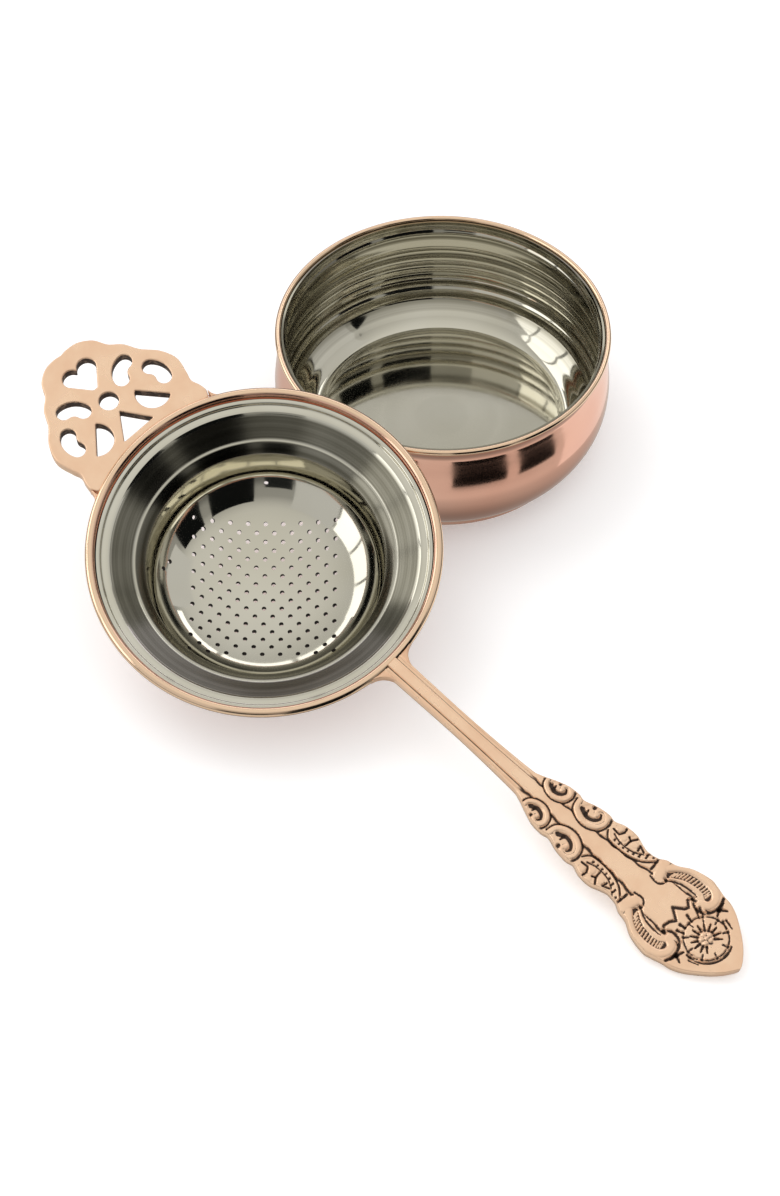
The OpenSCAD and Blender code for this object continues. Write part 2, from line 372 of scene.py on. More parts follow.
def polished(name, pale, warm, roughness, line_depth):
    """Spun and polished sheet: fine turning lines, and a slight drift in colour and gloss."""
    n = Nodes(name, Metallic=1.0)
    profile = n.profile()
    drift = n.noise(n.place(), 45, 2)
    n.link(n.ramp(drift, pale, warm), n.shader.inputs["Base Color"])
    lines = n.noise(profile, 1500, 4, 0.7)
    wide_lines = n.noise(profile, 260, 3, 0.6)
    n.link(n.ramp(wide_lines, roughness, roughness * 2.2), n.shader.inputs["Roughness"])
    waves = n.bump(wide_lines, line_depth * 3)
    n.link(n.bump(lines, line_depth, after=waves), n.shader.inputs["Normal"])
    return n


def cast(name, pale, warm, dark):
    """Cast and tumbled metal: satin on top, with dark patina where the mesh says it is deep."""
    n = Nodes(name)
    place = n.place()
    depth = n.add("ShaderNodeAttribute", attribute_name="patina").outputs["Fac"]
    grain = n.noise(place, 900, 4)
    blotch = n.noise(place, 160, 3)
    metal = n.mix(n.ramp(blotch, 0.0, 1.0), pale, warm)
    ragged = n.math("ADD", depth, n.ramp(grain, -0.22, 0.22, (0.2, 0.8)))
    stain = n.ramp(ragged, 0.0, 1.0, (0.32, 0.85))
    n.link(n.mix(stain, metal, dark), n.shader.inputs["Base Color"])
    n.link(n.ramp(stain, 0.72, 0.3, (0.2, 1.0)), n.shader.inputs["Metallic"])
    gloss = n.ramp(blotch, 0.24, 0.36)
    n.link(n.math("ADD", gloss, n.math("MULTIPLY", stain, 0.3)), n.shader.inputs["Roughness"])
    dents = n.bump(blotch, 0.00012)
    n.link(n.bump(grain, 0.00002, after=dents), n.shader.inputs["Normal"])
    return n.material


def tinted(n, amount, colour):
    """Mixes an amount of a colour into a material's own."""
    socket = n.shader.inputs["Base Color"]
    plain = socket.links[0].from_socket
    n.link(n.mix(amount, plain, colour), socket)


def copper_with_painted_rim_highlight(name, measure, start):
    """Polished copper with a painted highlight on its rolled rim: paler where the measure is past the
    start, in millimetres.
    """
    n = polished(name, COPPER_PALE, COPPER_WARM, COPPER_ROUGHNESS, COPPER_LINES)
    # Painted highlight: the rim's paler copper mixed in past the start.
    tinted(n, n.past(measure(n), start, start + RIM_BLEND), RIM_PAINTED_HIGHLIGHT)
    return n.material


def steel_painted_reflection_streaks(name):
    """The drip bowl's steel, with wide and narrow dark streaks painted round its wall above the floor as
    reflection.
    """
    n = polished(name, STEEL_PALE, STEEL_WARM, STEEL_ROUGHNESS, STEEL_LINES)
    wall = n.past(n.height(), BOWL_FLOOR_Z + 1, BOWL_FLOOR_Z + 5)
    streak = n.ramp(n.noise(n.profile(), 420, 3, 0.55), 0.0, 0.9, (0.46, 0.62))
    # Painted reflection: dark streaks mixed into the wall's colour.
    tinted(n, n.math("MULTIPLY", wall, streak), PAINTED_REFLECTION_DARK)
    return n.material


def steel_painted_reflection_band(name):
    """The strainer's steel, with dark reflection painted into the saucer's hollow band, which is also
    duller, but for one bright step.
    """
    n = polished(name, STEEL_PALE, STEEL_WARM, STEEL_ROUGHNESS, STEEL_LINES)
    radius = n.radius()
    band = n.within(radius, BAND_START, BAND_END)
    bright = n.math("MULTIPLY", n.within(radius, STEP_START, STEP_END), 0.75)
    streak = n.ramp(n.noise(n.profile(), 1100, 2, 0.5), 0.78, 1.0, (0.35, 0.65))
    drift = n.ramp(n.noise(n.place(), 60, 2), 0.9, 1.0)
    amount = n.math("MULTIPLY", n.math("MULTIPLY", band, streak), drift)
    # Painted reflection: the hollow band darkened, all but its bright step.
    tinted(n, n.math("MULTIPLY", amount, n.math("SUBTRACT", 1.0, bright)), BAND_PAINTED_REFLECTION_DARK)
    roughness = n.shader.inputs["Roughness"]
    plain = roughness.links[0].from_socket
    n.link(n.math("ADD", plain, n.math("MULTIPLY", band, 0.10)), roughness)
    return n.material


bowl_copper = copper_with_painted_rim_highlight("bowl_copper", Nodes.height, BOWL_H - 2.0)
strainer_copper = copper_with_painted_rim_highlight("strainer_copper", Nodes.radius, BEAD_X - 0.7)
bowl_steel = steel_painted_reflection_streaks("steel_painted_reflection_streaks")
strainer_steel = steel_painted_reflection_band("steel_painted_reflection_band")
# Near-black painted shade for the walls of the punched holes.
hole_wall_painted_shade = Nodes("hole_wall_painted_shade", Base_Color=(0.05, 0.04, 0.035, 1), Metallic=0.6, Roughness=0.5).material
cast_copper = cast("cast_copper", CAST_PALE, CAST_WARM, PATINA)
braze_copper = cast("braze_copper", BRAZE_PALE, BRAZE_WARM, PATINA)


# ---- drip bowl ---------------------------------------------------------------


def bowl_side(inwards):
    """The bowl's side from its foot's crease to its lip."""
    side = smooth([
        (BOWL_FOOT_R + 0.5, BOWL_FOOT_H + 0.3), (BELLY_R - 2.1, 5), (BELLY_R - 0.45, 8.8),
        (BELLY_R, 12.8), (BELLY_R - 0.35, 17), (BOWL_LIP_R - 0.85, BOWL_H - 5),
        (BOWL_LIP_R - 1.1, BOWL_H - 3), (BOWL_LIP_R - 0.5, BOWL_H - 1)])
    return moved(side, inwards)


def make_bowl_shell():
    foot = arc((BOWL_FOOT_R - 0.6, 0.6), 0.6, -90, 0, 8)
    crease = [(BOWL_FOOT_R + 0.1, BOWL_FOOT_H)]
    lip = arc((BOWL_LIP_R - LIP_R, BOWL_H - LIP_R), LIP_R, -55, 235, 28)
    inside = bowl_side(COPPER_T)[::-1]
    floor = [(BOWL_FOOT_R - COPPER_T, BOWL_FOOT_H + 0.4), (BOWL_FOOT_R - 0.6, COPPER_T)]
    middle = [(1, COPPER_T), (0, COPPER_T)]
    path = chain([(0, 0), (1, 0)], foot, crease, bowl_side(0), lip, inside, floor, middle)
    shell = turned("drip_bowl_copper_shell", path, bowl_copper)
    return stand_for(shell, "bowl_shell", "drip_bowl")


def ridged(face):
    """The liner's face with the turned ridges that stand on its wall."""
    heights = np.array([7.3, 9.3, 11.7, 13.8, 16.0, 18.5, 23.6])
    width, rise = 0.42, 0.26
    bumps = np.exp(-((face[:, 1:] - heights) / width) ** 2).max(1) * rise
    bumps[face[:, 0] < BOWL_FOOT_R] = 0
    return face - np.stack([bumps, 0 * bumps], 1)


def make_bowl_liner():
    wall = bowl_side(COPPER_T + SKIN_GAP)
    wall = wall[(wall[:, 1] > 5) & (wall[:, 1] < BOWL_H - 1.3)]
    corner = np.array([BOWL_FOOT_R - 2.4, BOWL_FLOOR_Z])
    floor = smooth([corner - (2, 0), corner, corner + (2.6, 1.9), wall[0]])
    edge = [(BOWL_LIP_R - 1.25, BOWL_H - 0.6)]
    back = chain([(0, BOWL_FLOOR_Z), (1, BOWL_FLOOR_Z)], floor, wall[1:], edge)
    face = ridged(even(moved(back, STEEL_T), 0.16))
    face = face[face[:, 0] > 0.5]
    middle = [(0, BOWL_FLOOR_Z + STEEL_T)]
    liner = turned("drip_bowl_steel_liner", chain(back, face[::-1], middle), bowl_steel)
    return stand_for(liner, "bowl_liner", "drip_bowl")


# ---- strainer bowl -----------------------------------------------------------


def cup_face():
    """The cup's face from its middle to its wall: a shallow dish, a steeper flank and a tight corner."""
    dish = math.asin(DISH_R / DISH_SPHERE_R)
    centre = np.array([0, DISH_SPHERE_R - CUP_DEPTH])
    parts = [arc(centre, DISH_SPHERE_R, -90, math.degrees(dish) - 90, 60)]
    radius, start = DISH_SPHERE_R, dish
    flank = (DISH_R, FLANK_R, FLANK_SLOPE)
    corner = (FLANK_R, MOUTH_R - MOUTH_LIP, WALL_SLOPE)
    for from_r, to_r, slope in (flank, corner):
        bend = (to_r - from_r) / (math.sin(slope) - math.sin(start))
        centre = centre + (radius - bend) * np.array([math.sin(start), -math.cos(start)])
        parts.append(arc(centre, bend, math.degrees(start) - 90, math.degrees(slope) - 90, 40)[1:])
        radius, start = bend, slope
    return chain(*parts)


def saucer_face():
    """The steel face above the cup: a shoulder, a hollow band and two turned steps."""
    band = smooth([
        (MOUTH_R, -MOUTH_DEPTH - 1.2), (MOUTH_R + 0.15, -MOUTH_DEPTH - 0.15),
        (MOUTH_R + 0.5, -MOUTH_DEPTH + 0.25), (24.1, -4.65), (24.6, -4.5), (26.6, -3.2), (28.6, -1.9)])
    steps = smooth([(28.9, -1.55), (29.4, -1.4), (30.15, -1.3), (30.45, -0.8), (31.1, -0.6)], STEP_CUTS)
    return chain(band, steps)


def copper_face():
    """The copper skin's face, which runs smoothly under the steel one to the bead."""
    cup = moved(cup_face(), -STEEL_T - SKIN_GAP)
    cup[:, 0] = np.maximum(cup[:, 0], 0)
    band = smooth([
        (MOUTH_R + 0.55, -MOUTH_DEPTH - 1.6), (MOUTH_R + 0.95, -MOUTH_DEPTH - 0.75), (24.6, -5.5),
        (26.6, -4.3), (28.2, -3.4), (29.4, -2.7), (30.5, -1.9), (31.2, -1.35)])
    return chain(cup, band)


def hole_rings(face_r, face_s, slope_r, slope):
    """Each hole's rim, square to the cup's face, in the face's unrolled coordinates."""
    steps = range(-HOLE_STEPS, HOLE_STEPS + 1)
    grid = [(i, j) for i in steps for j in steps if abs(i) + abs(j) <= HOLE_STEPS]
    centres = [turn_2d(GRID_TURN) @ (HOLE_PITCH * np.array(place)) + GRID_MIDDLE for place in grid]
    a = np.linspace(0, 2 * math.pi, 20, endpoint=False)
    rims = []
    for centre in centres + [np.array(p) for p in STRAY_HOLES]:
        r = np.linalg.norm(centre)
        out = centre / r
        side = np.array([-out[1], out[0]])
        lean = math.cos(np.interp(r, slope_r, slope))
        rim = centre + HOLE_R * (np.cos(a)[:, None] * lean * out + np.sin(a)[:, None] * side)
        rims.append(unrolled(rim, face_r, face_s))
    return rims


def unrolled(points, face_r, face_s):
    """Plan positions with the distance from the axis stretched to the length along the face."""
    r = np.linalg.norm(points, axis=1)
    return points / np.maximum(r, 1e-9)[:, None] * np.interp(r, face_r, face_s)[:, None]


def filler_points(edge_s):
    """Points on rings over the unrolled cup, with its edge first."""
    spacing = 0.5
    a = np.linspace(0, 2 * math.pi, TURNS, endpoint=False)
    points = [edge_s * np.stack([np.cos(a), np.sin(a)], 1)]
    for i, ring in enumerate(np.arange(spacing, edge_s - 0.3, spacing)):
        count = max(6, round(2 * math.pi * ring / (1.1 * spacing)))
        a = np.linspace(0, 2 * math.pi, count, endpoint=False) + i
        points.append(ring * np.stack([np.cos(a), np.sin(a)], 1))
    return np.vstack(points)


def punched_sheet(face):
    """Triangles over the cup's face with its holes left out, and each hole's rim points."""
    s = lengths_along(face)
    slope = np.arctan2(np.gradient(face[:, 1]), np.gradient(face[:, 0]))
    rims = hole_rings(face[:, 0], s, face[:, 0], slope)
    filler = filler_points(np.interp(PUNCHED_R, face[:, 0], s))
    centres = np.array([rim.mean(0) for rim in rims])
    clear_of_rim = 0.18
    near = np.linalg.norm(filler[:, None] - centres[None], axis=2).min(1) < HOLE_R + clear_of_rim
    near[:TURNS] = False
    filler = filler[~near]
    flat = np.vstack([filler, *rims])
    label = np.r_[np.full(len(filler), -1), np.repeat(np.arange(len(rims)), len(rims[0]))]
    edges = []
    first = len(filler)
    for rim in rims:
        n = len(rim)
        edges += [(first + i, first + (i + 1) % n) for i in range(n)]
        first += n
    edges += [(i, (i + 1) % TURNS) for i in range(TURNS)]
    _, _, triangles, _, _, _ = delaunay_2d_cdt([Vector(p) for p in flat], edges, [], 0, 1e-7)
    in_hole = [label[a] >= 0 and label[a] == label[b] == label[c] for a, b, c in triangles]
    triangles = [t for t, hole in zip(triangles, in_hole) if not hole]
    return flat, triangles, np.split(np.arange(len(filler), len(flat)), len(rims))


def lifted(flat, face, offset):
    """Unrolled points set back on the face, moved square to it."""
    s = lengths_along(face)
    shifted = moved(face, offset)
    shifted[0, 0] = 0
    length = np.linalg.norm(flat, axis=1)
    out = flat / np.maximum(length, 1e-9)[:, None]
    r, z = (np.interp(length, s, shifted[:, i]) for i in (0, 1))
    return np.column_stack([out * r[:, None], z])


def punched_skin(name, depth, thickness, rest, material):
    """A skin of the strainer's bowl. Its cup is the cup's face moved down by depth, with the holes
    through it, and rest() gives the path from the cup's upper edge out to the rim and back.
    """
    face = cup_face()
    flat, triangles, rims = punched_sheet(face)
    top, bottom = lifted(flat, face, -depth), lifted(flat, face, -depth - thickness)
    count = len(flat)
    faces = [tuple(t) for t in triangles] + [(c + count, b + count, a + count) for a, b, c in triangles]
    first_wall = len(faces)
    for rim in rims:
        after = np.roll(rim, -1)
        faces += list(zip(rim.tolist(), (rim + count).tolist(), (after + count).tolist(), after.tolist()))
    last_wall = len(faces)
    ends = [np.array([np.linalg.norm(p[0, :2]), p[0, 2]]) for p in (top, bottom)]
    path = rest(ends[0], ends[1])
    wall = rings(path)
    first = 2 * count
    faces += ring_faces(len(path), first)
    base = first + (len(path) - 1) * TURNS
    faces += [(j, (j + 1) % TURNS, first + (j + 1) % TURNS, first + j) for j in range(TURNS)]
    faces += [(base + j, base + (j + 1) % TURNS, count + (j + 1) % TURNS, count + j) for j in range(TURNS)]
    skin = make_object(name, np.vstack([top, bottom, wall]), faces, material)
    # The holes' walls take the painted shade.
    skin.data.materials.append(hole_wall_painted_shade)
    for polygon in skin.data.polygons[first_wall:last_wall]:
        polygon.material_index = 1
    return skin


def beyond(path, point):
    """The part of a face that lies outside and above the point, by more than a hair."""
    return path[np.cumsum((path[:, 0] > point[0] + 0.05) & (path[:, 1] > point[1])) > 0]


def make_strainer_liner():
    def rest(top, bottom):
        face = chain(cup_face(), saucer_face())
        stepped = STEP_SPANS * STEP_CUTS + 1
        face = chain(even(face[:-stepped], 0.2), face[-stepped:])
        return chain(beyond(face, top), beyond(moved(face, -STEEL_T), bottom)[::-1])

    liner = punched_skin("strainer_steel_liner", 0.0, STEEL_T, rest, strainer_steel)
    return stand_for(liner, "strainer_liner", "strainer", pose())


def make_strainer_shell():
    def rest(top, bottom):
        face = even(copper_face(), 0.25)
        bead = arc((BEAD_X, 0), BEAD_R, 222, -128, 40)
        return chain(beyond(face, top), bead, beyond(moved(face, -COPPER_T), bottom)[::-1])

    depth = STEEL_T + SKIN_GAP
    shell = punched_skin("strainer_copper_shell", depth, COPPER_T, rest, strainer_copper)
    return stand_for(shell, "strainer_shell", "strainer", pose())


# ---- ornament ----------------------------------------------------------------


def reach(x, y, path):
    """Distance from each point to a path, and how far along the path the nearest place is."""
    best = np.full(x.shape, np.inf)
    along = np.zeros(x.shape)
    path = np.asarray(path, float)
    spans = len(path) - 1
    for i, (a, b) in enumerate(zip(path[:-1], path[1:])):
        d = b - a
        t = np.clip(((x - a[0]) * d[0] + (y - a[1]) * d[1]) / max(d @ d, 1e-12), 0, 1)
        far = np.hypot(x - a[0] - t * d[0], y - a[1] - t * d[1])
        nearer = far < best
        best[nearer] = far[nearer]
        along[nearer] = ((i + t) / spans)[nearer]
    return best, along


class Relief:
    """Heights over a grid of points, raised and cut by strokes whose heights are parts of RELIEF_H."""

    def __init__(self, x, y):
        self.x, self.y = x, y
        self.h = np.zeros(x.shape)

    def stroke(self, path, half_width, end_width, height):
        """The heights of a round stroke along a path, and where it is."""
        path = np.asarray(path, float)
        pad = max(half_width, end_width)
        low, high = path.min(0) - pad, path.max(0) + pad
        near = (self.x > low[0]) & (self.x < high[0]) & (self.y > low[1]) & (self.y < high[1])
        far, along = reach(self.x[near], self.y[near], path)
        width = half_width + (end_width - half_width) * along
        round_part = np.sqrt(np.clip(1 - (far / width) ** 2, 0, 1))
        return near, far < width, height * RELIEF_H * round_part

    def ridge(self, path, half_width, height, end_width=None):
        near, inside, rise = self.stroke(path, half_width, end_width or half_width, height)
        self.h[near] = np.where(inside, np.maximum(self.h[near], rise), self.h[near])

    def groove(self, path, half_width, depth, end_width=None):
        near, inside, rise = self.stroke(path, half_width, end_width or half_width, depth)
        self.h[near] = np.where(inside, self.h[near] - rise, self.h[near])

    def dome(self, centre, radius, height):
        self.ridge([centre, centre], radius, height)

    def pit(self, centre, radius, depth):
        self.groove([centre, centre], radius, depth)


def bent(points):
    """A short smooth path for a stroke."""
    return smooth(points, 6)


HANDLE_EDGE = smooth([
    (RIM_R - 1.5, 2.3), (40, 2.15), (52, 2.1), (64, 2.5), (66.5, 2.9), (69, 3.9), (71.5, 4.8), (74, 5.0),
    (75.5, 4.75), (78, 5.5), (80.5, 5.8), (82, 5.55), (84, 6.2), (86.5, 6.3), (88.5, 5.65), (90, 5.3),
    (92, 5.6), (93.5, 6.4), (95.5, 6.9), (98, 8.3), (101.3, 9.0), (103, 8.75), (105, 8.2), (106.8, 7.9),
    (109, 6.9), (112, 4.7), (113.7, 3.1), (TIP_X - 0.8, 1.7), (TIP_X - 0.2, 0.7), (TIP_X, 0)], 8)
PANEL_EDGE = smooth([
    (RIM_R - 1.5, 1.1), (52, 1.05), (66, 1.25), (80, 1.5), (88, 1.9), (92, 2.3), (95, 3.0),
    (98, 3.5), (101, 3.9)], 8)


def handle_lift(x):
    """How far the handle has risen above the rim plane at a distance from the axis."""
    return TIP_LIFT * (np.maximum(x - LIFT_START, 0) / (TIP_X - LIFT_START)) ** 2


def step(value, low, high):
    """0 below low and 1 above high, with a smooth rise between."""
    t = np.clip((value - low) / (high - low), 0, 1)
    return t * t * (3 - 2 * t)


def carve_field(relief, edge):
    """The smooth middle panel, the stem's two grooves, and the raised field of the ornament."""
    stem = 1 - step(relief.x, STEM_END + 1.5, STEM_END + 3)
    wave = 0.1 * np.sin(relief.x * 2.2) * (1 - stem)
    panel = np.interp(relief.x, PANEL_EDGE[:, 0], PANEL_EDGE[:, 1]) + wave
    inside = 1 - step(relief.y, panel - 0.15, panel + 0.1)
    flange = step(relief.y, panel + 0.35, panel + 0.6) * 0.3
    field = step(relief.y, panel + 0.25, panel + 0.7) * FIELD_H
    relief.h = RELIEF_H * np.maximum(inside, stem * flange + (1 - stem) * field)
    relief.h -= 0.3 * stem * np.exp(-((relief.y - panel - 0.3) / 0.24) ** 2)
    relief.h += 0.07 * np.exp(-((relief.y - panel + 0.3) / 0.16) ** 2)
    border = step(relief.y, edge - 0.75, edge - 0.3) * (1 - stem)
    relief.h += border * 0.12 * RELIEF_H


def carve_scroll(relief, x, size):
    """One scroll: a broad band that rolls over and in on its bud, above a round lobe."""
    def at(points):
        return [(x + dx * size, 0.35 + dy * size) for dx, dy in points]

    band = bent(at([(-3.3, 3.7), (-2.9, 2.3), (-1.4, 1.35), (0.5, 1.25), (2.2, 2.1), (2.8, 3.5),
                    (2.3, 4.7), (1.1, 5.1), (0.3, 4.4), (0.6, 3.6)]))
    outer = bent(at([(-3.9, 3.6), (-3.3, 1.8), (-1.5, 0.75), (0.7, 0.6), (2.8, 1.7), (3.5, 3.6),
                     (3.1, 5.2)]))
    inner = bent(at([(-2.0, 2.9), (-0.6, 2.3), (0.8, 2.6), (1.5, 3.5), (1.2, 4.1)]))
    relief.groove(outer, 0.28, 0.8)
    relief.groove(inner, 0.5, 1, 0.3)
    relief.groove(at([(-0.9, 2.6), (-1.0, 3.4)]), 0.4, 0.8, 0.15)
    relief.groove(at([(-0.5, 4.4), (-0.5, 5.4)]), 0.4, 1, 0.3)
    relief.ridge(band, 0.66 * size, 1.15, 0.5)
    relief.dome(at([(0.55, 3.75)])[0], 0.75 * size, 1.1)
    relief.ridge(at([(-2.4, 3.9), (-1.5, 4.9)]), 0.8 * size, 1.05)


def carve_leaves(relief):
    """A spray of round lobes with dark creases, under an arched border of small ticks."""
    outer = bent([(82.2, 3.4), (83.3, 2.2), (85.5, 1.95), (88.0, 2.15), (90.4, 3.0), (92.2, 4.6)])
    inner = bent([(83.6, 3.6), (85.4, 3.1), (88.0, 3.3), (89.9, 4.3), (91.2, 5.6)])
    lobes = (((83.6, 5.1), 1.0), ((85.3, 4.1), 0.9), ((85.7, 5.7), 0.95),
             ((87.5, 4.5), 1.05), ((88.9, 5.4), 0.9), ((90.5, 5.2), 0.6))
    for centre, radius in lobes:
        relief.dome(centre, radius, 1.15)
    ticks = np.linspace(84.4, 91.6, 8)
    for x, y in zip(ticks, np.interp(ticks, inner[:, 0], inner[:, 1])):
        relief.groove([(x, y - 0.95), (x - 0.1, y - 0.35)], 0.22, 0.7)
    relief.groove(outer, 0.24, 0.7)
    relief.groove(inner, 0.2, 0.6)
    relief.ridge(moved(outer, 0.38), 0.24, 1)
    creases = (((82.9, 4.2), (84.2, 4.1), (84.7, 5.0), (84.5, 6.0)), ((86.5, 4.6), (87.2, 5.6)),
               ((86.4, 3.4), (86.5, 4.6), (85.9, 4.9)), ((88.6, 4.1), (88.4, 5.0), (89.6, 4.5)))
    for crease in creases:
        relief.groove(crease, 0.22, 0.9)


def carve_shell(relief):
    """The crescent shell: a round knuckle, a broad border that curls in, and ribs in a recess."""
    recess = bent([(95.7, 4.5), (96.8, 5.6), (98.4, 6.3), (100.4, 6.6), (102.2, 6.5), (103.2, 5.9)])
    relief.groove(recess, 0.75, 0.9)
    for x, y in recess[2:-1:2]:
        relief.ridge([(x - 0.1, y - 0.55), (x + 0.1, y + 0.55)], 0.2, 0.62)
    relief.groove(bent([(95.7, 3.3), (97.5, 4.3), (99.6, 4.8), (101.6, 4.7)]), 0.22, 0.6)
    relief.ridge(bent([(95.8, 3.8), (97.4, 4.8), (99.5, 5.35), (101.8, 5.3)]), 0.3, 1)
    border = bent([(94.6, 5.4), (96.2, 6.9), (98.4, 7.9), (101.0, 8.1), (103.4, 7.6), (104.5, 6.3),
                   (104.3, 4.9), (103.0, 4.2)])
    curl = bent([(101.4, 3.9), (102.8, 3.0), (104.6, 3.3), (105.6, 4.8), (105.7, 6.3), (105.3, 7.6)])
    relief.ridge(border, 0.95, 1.2, 0.9)
    relief.groove(bent([(92.5, 3.2), (92.4, 4.6), (92.1, 6.2)]), 0.26, 0.9)
    relief.groove(bent([(93.3, 2.1), (95.0, 1.9), (95.9, 2.8), (95.7, 4.0)]), 0.22, 0.7)
    relief.ridge(bent([(94.3, 3.2), (93.9, 4.4), (93.6, 5.8)]), 1.2, 1.25)
    relief.groove(curl, 0.3, 1)


def carve_zigzag(both):
    """The smooth panel's jagged end, and the dark gaps between the small leaves beyond it."""
    zigzag = [(101.3, 4.0), (100.9, 3.2), (101.9, 2.3), (101.6, 1.6), (99.9, 0.4), (101.9, -1.0),
              (101.2, -1.9), (100.9, -3.1), (101.8, -4.0)]
    both.groove(zigzag, 0.3, 1)
    gaps = (((103.1, 2.9), (104.8, 1.9)), ((103.4, 3.5), (104.7, 2.9)), ((102.7, 1.0), (104.1, 0.7)),
            ((102.9, -1.1), (104.3, -0.9)), ((103.2, -2.2), (104.5, -1.8)))
    for gap in gaps:
        both.groove(gap, 0.32, 1, 0.15)


def carve_flower(both):
    """A full flower: round petals, dark notches about a raised bud, and a cut arc at its right."""
    centre = np.array([FLOWER_X, 0.1])

    def out(angle):
        return np.array([math.cos(angle), math.sin(angle)])

    both.groove(centre + arc((0, 0), 3.95, 0, 360, 40), 0.22, 0.6)
    petals, notches, beads = 9, 12, 5
    for k in range(petals):
        a = 2 * math.pi * k / petals
        gap = out(a + math.pi / petals)
        both.dome(centre + 2.85 * out(a), 1.15, 1.2)
        both.groove([centre + 3.0 * gap, centre + 4.0 * gap], 0.18, 0.6, 0.3)
    for k in range(notches):
        a = math.radians(40 + 25 * k)
        both.groove([centre + 1.5 * out(a), centre + 2.7 * out(a)], 0.3, 1.1, 0.14)
    both.pit(centre, 1.7, 0.4)
    for k in range(beads):
        both.dome(centre + 0.8 * out(2 * math.pi * k / beads + 0.3), 0.6, 1.25)
    both.dome(centre, 0.5, 1.5)
    both.groove(centre + arc((0, 0), 4.5, -95, 22, 24), 0.26, 0.9)


def carve_tip_leaves(relief):
    """A three-pointed gap on each side by the shell's curl, and the creases of a small leaf."""
    for tip in ((105.8, 7.0), (107.3, 6.3), (106.6, 4.4)):
        relief.groove([(106.0, 5.6), tip], 0.45, 1.1, 0.16)
    relief.groove([(108.2, 4.9), (109.9, 4.4)], 0.25, 0.8, 0.12)
    relief.groove([(107.9, 4.4), (109.2, 3.7)], 0.25, 0.8, 0.12)


def handle_relief(x, y, edge):
    """Heights of the handle's ornament above its plain plate."""
    relief = Relief(x, np.abs(y))
    carve_field(relief, edge)
    head = step(x, 95, 97) * (1 - step(relief.y, 3.6, 4.0)) + step(x, 104.5, 106)
    relief.h = np.maximum(relief.h, np.minimum(head, 1) * RELIEF_H)
    carve_scroll(relief, 70.9, 0.82)
    carve_scroll(relief, 78.3, 1.0)
    carve_leaves(relief)
    carve_shell(relief)
    carve_tip_leaves(relief)
    both = Relief(x, y)
    both.h = relief.h
    carve_zigzag(both)
    carve_flower(both)
    return both.h


# ---- handle ------------------------------------------------------------------


def handle_stations():
    """Distances from the axis at which the handle's section is drawn, closest at the ornament."""
    end_length = 2.5
    stem = np.arange(RIM_R - 0.45, STEM_END, 0.5)
    head = np.arange(STEM_END, TIP_X - end_length, 0.12)
    end = TIP_X - end_length * np.cos(np.linspace(0, math.pi / 2, 26)) ** 1.6
    return np.r_[stem, head, end[1:]]


def spread(count):
    """Places from -1 to 1 that lie closer together at the ends."""
    widest = math.pi / 2 * 0.86
    return np.sin(np.linspace(-1, 1, count) * widest) / math.sin(widest)


def edge_roll(y, edge, round_r):
    """How far past the start of the rounded edge a point is, from 0 to 1, and how far it has rolled."""
    past = np.clip((np.abs(y) - (edge - round_r)) / round_r, 0, 1)
    return past, round_r * (1 - np.sqrt(1 - past**2))


def handle_sections():
    """Points of the handle, section by section, and how deep each lies in the ornament."""
    x = handle_stations()[:, None]
    edge = np.maximum(np.interp(x, HANDLE_EDGE[:, 0], HANDLE_EDGE[:, 1]), 0.03)
    round_r = np.minimum(HANDLE_ROUND, edge * 0.6)
    top_y = edge * spread(TOP_POINTS)
    top_x = np.repeat(x, top_y.shape[1], 1)
    height = handle_relief(top_x, top_y, edge)
    past, rolled = edge_roll(top_y, edge, round_r)
    top_z = PLATE_TOP + height * (1 - past**2) - rolled + handle_lift(x)
    under_y = edge * np.linspace(1, -1, UNDER_POINTS)
    under_z = PLATE_TOP - HANDLE_T + edge_roll(under_y, edge, round_r)[1] + handle_lift(x)
    section_y = np.hstack([top_y, under_y])
    section_z = np.hstack([top_z, under_z])
    section_x = np.repeat(x, section_y.shape[1], 1)
    depth = np.hstack([patina_of(top_x, height, past), np.full(under_y.shape, UNDER_PATINA)])
    return np.stack([section_x, section_y, section_z], 2), depth


def averaged(line):
    """A line of heights, each averaged with its neighbours."""
    size = 9
    return np.convolve(np.pad(line, size // 2, "edge"), np.ones(size) / size, "valid")


def patina_of(x, height, past):
    """Dark where the surface lies below what is round it, and never on the worn outer edge."""
    local = np.apply_along_axis(averaged, 0, height)
    local = np.apply_along_axis(averaged, 1, local)
    on_head = step(x, STEM_END, STEM_END + 3)
    deep = step(0.35 * RELIEF_H - height, 0.0, 0.4 * RELIEF_H) * on_head
    crease = step(local - height, 0.0, 0.08)
    stem_groove = step(0.02 - height, 0.0, 0.1) * (1 - on_head)
    return np.clip(np.maximum(deep, np.maximum(crease, stem_groove)), 0, 1) * (1 - past)


def set_patina(piece, values):
    layer = piece.data.attributes.new("patina", "FLOAT", "POINT")
    layer.data.foreach_set("value", np.asarray(values, np.float32).ravel())


def make_handle():
    points, depth = handle_sections()
    rows, columns = points.shape[:2]
    i, j = np.meshgrid(np.arange(rows - 1), np.arange(columns), indexing="ij")
    k = (j + 1) % columns
    quads = np.stack([i * columns + j, (i + 1) * columns + j, (i + 1) * columns + k, i * columns + k], 2)
    faces = quads.reshape(-1, 4).tolist()
    faces.append(tuple(range(columns)))
    faces.append(tuple(reversed(range((rows - 1) * columns, rows * columns))))
    handle = make_object("cast_handle", points.reshape(-1, 3), faces, cast_copper, 60)
    set_patina(handle, depth)
    return stand_for(handle, "handle", "strainer", pose())


# ---- flat cast pieces --------------------------------------------------------


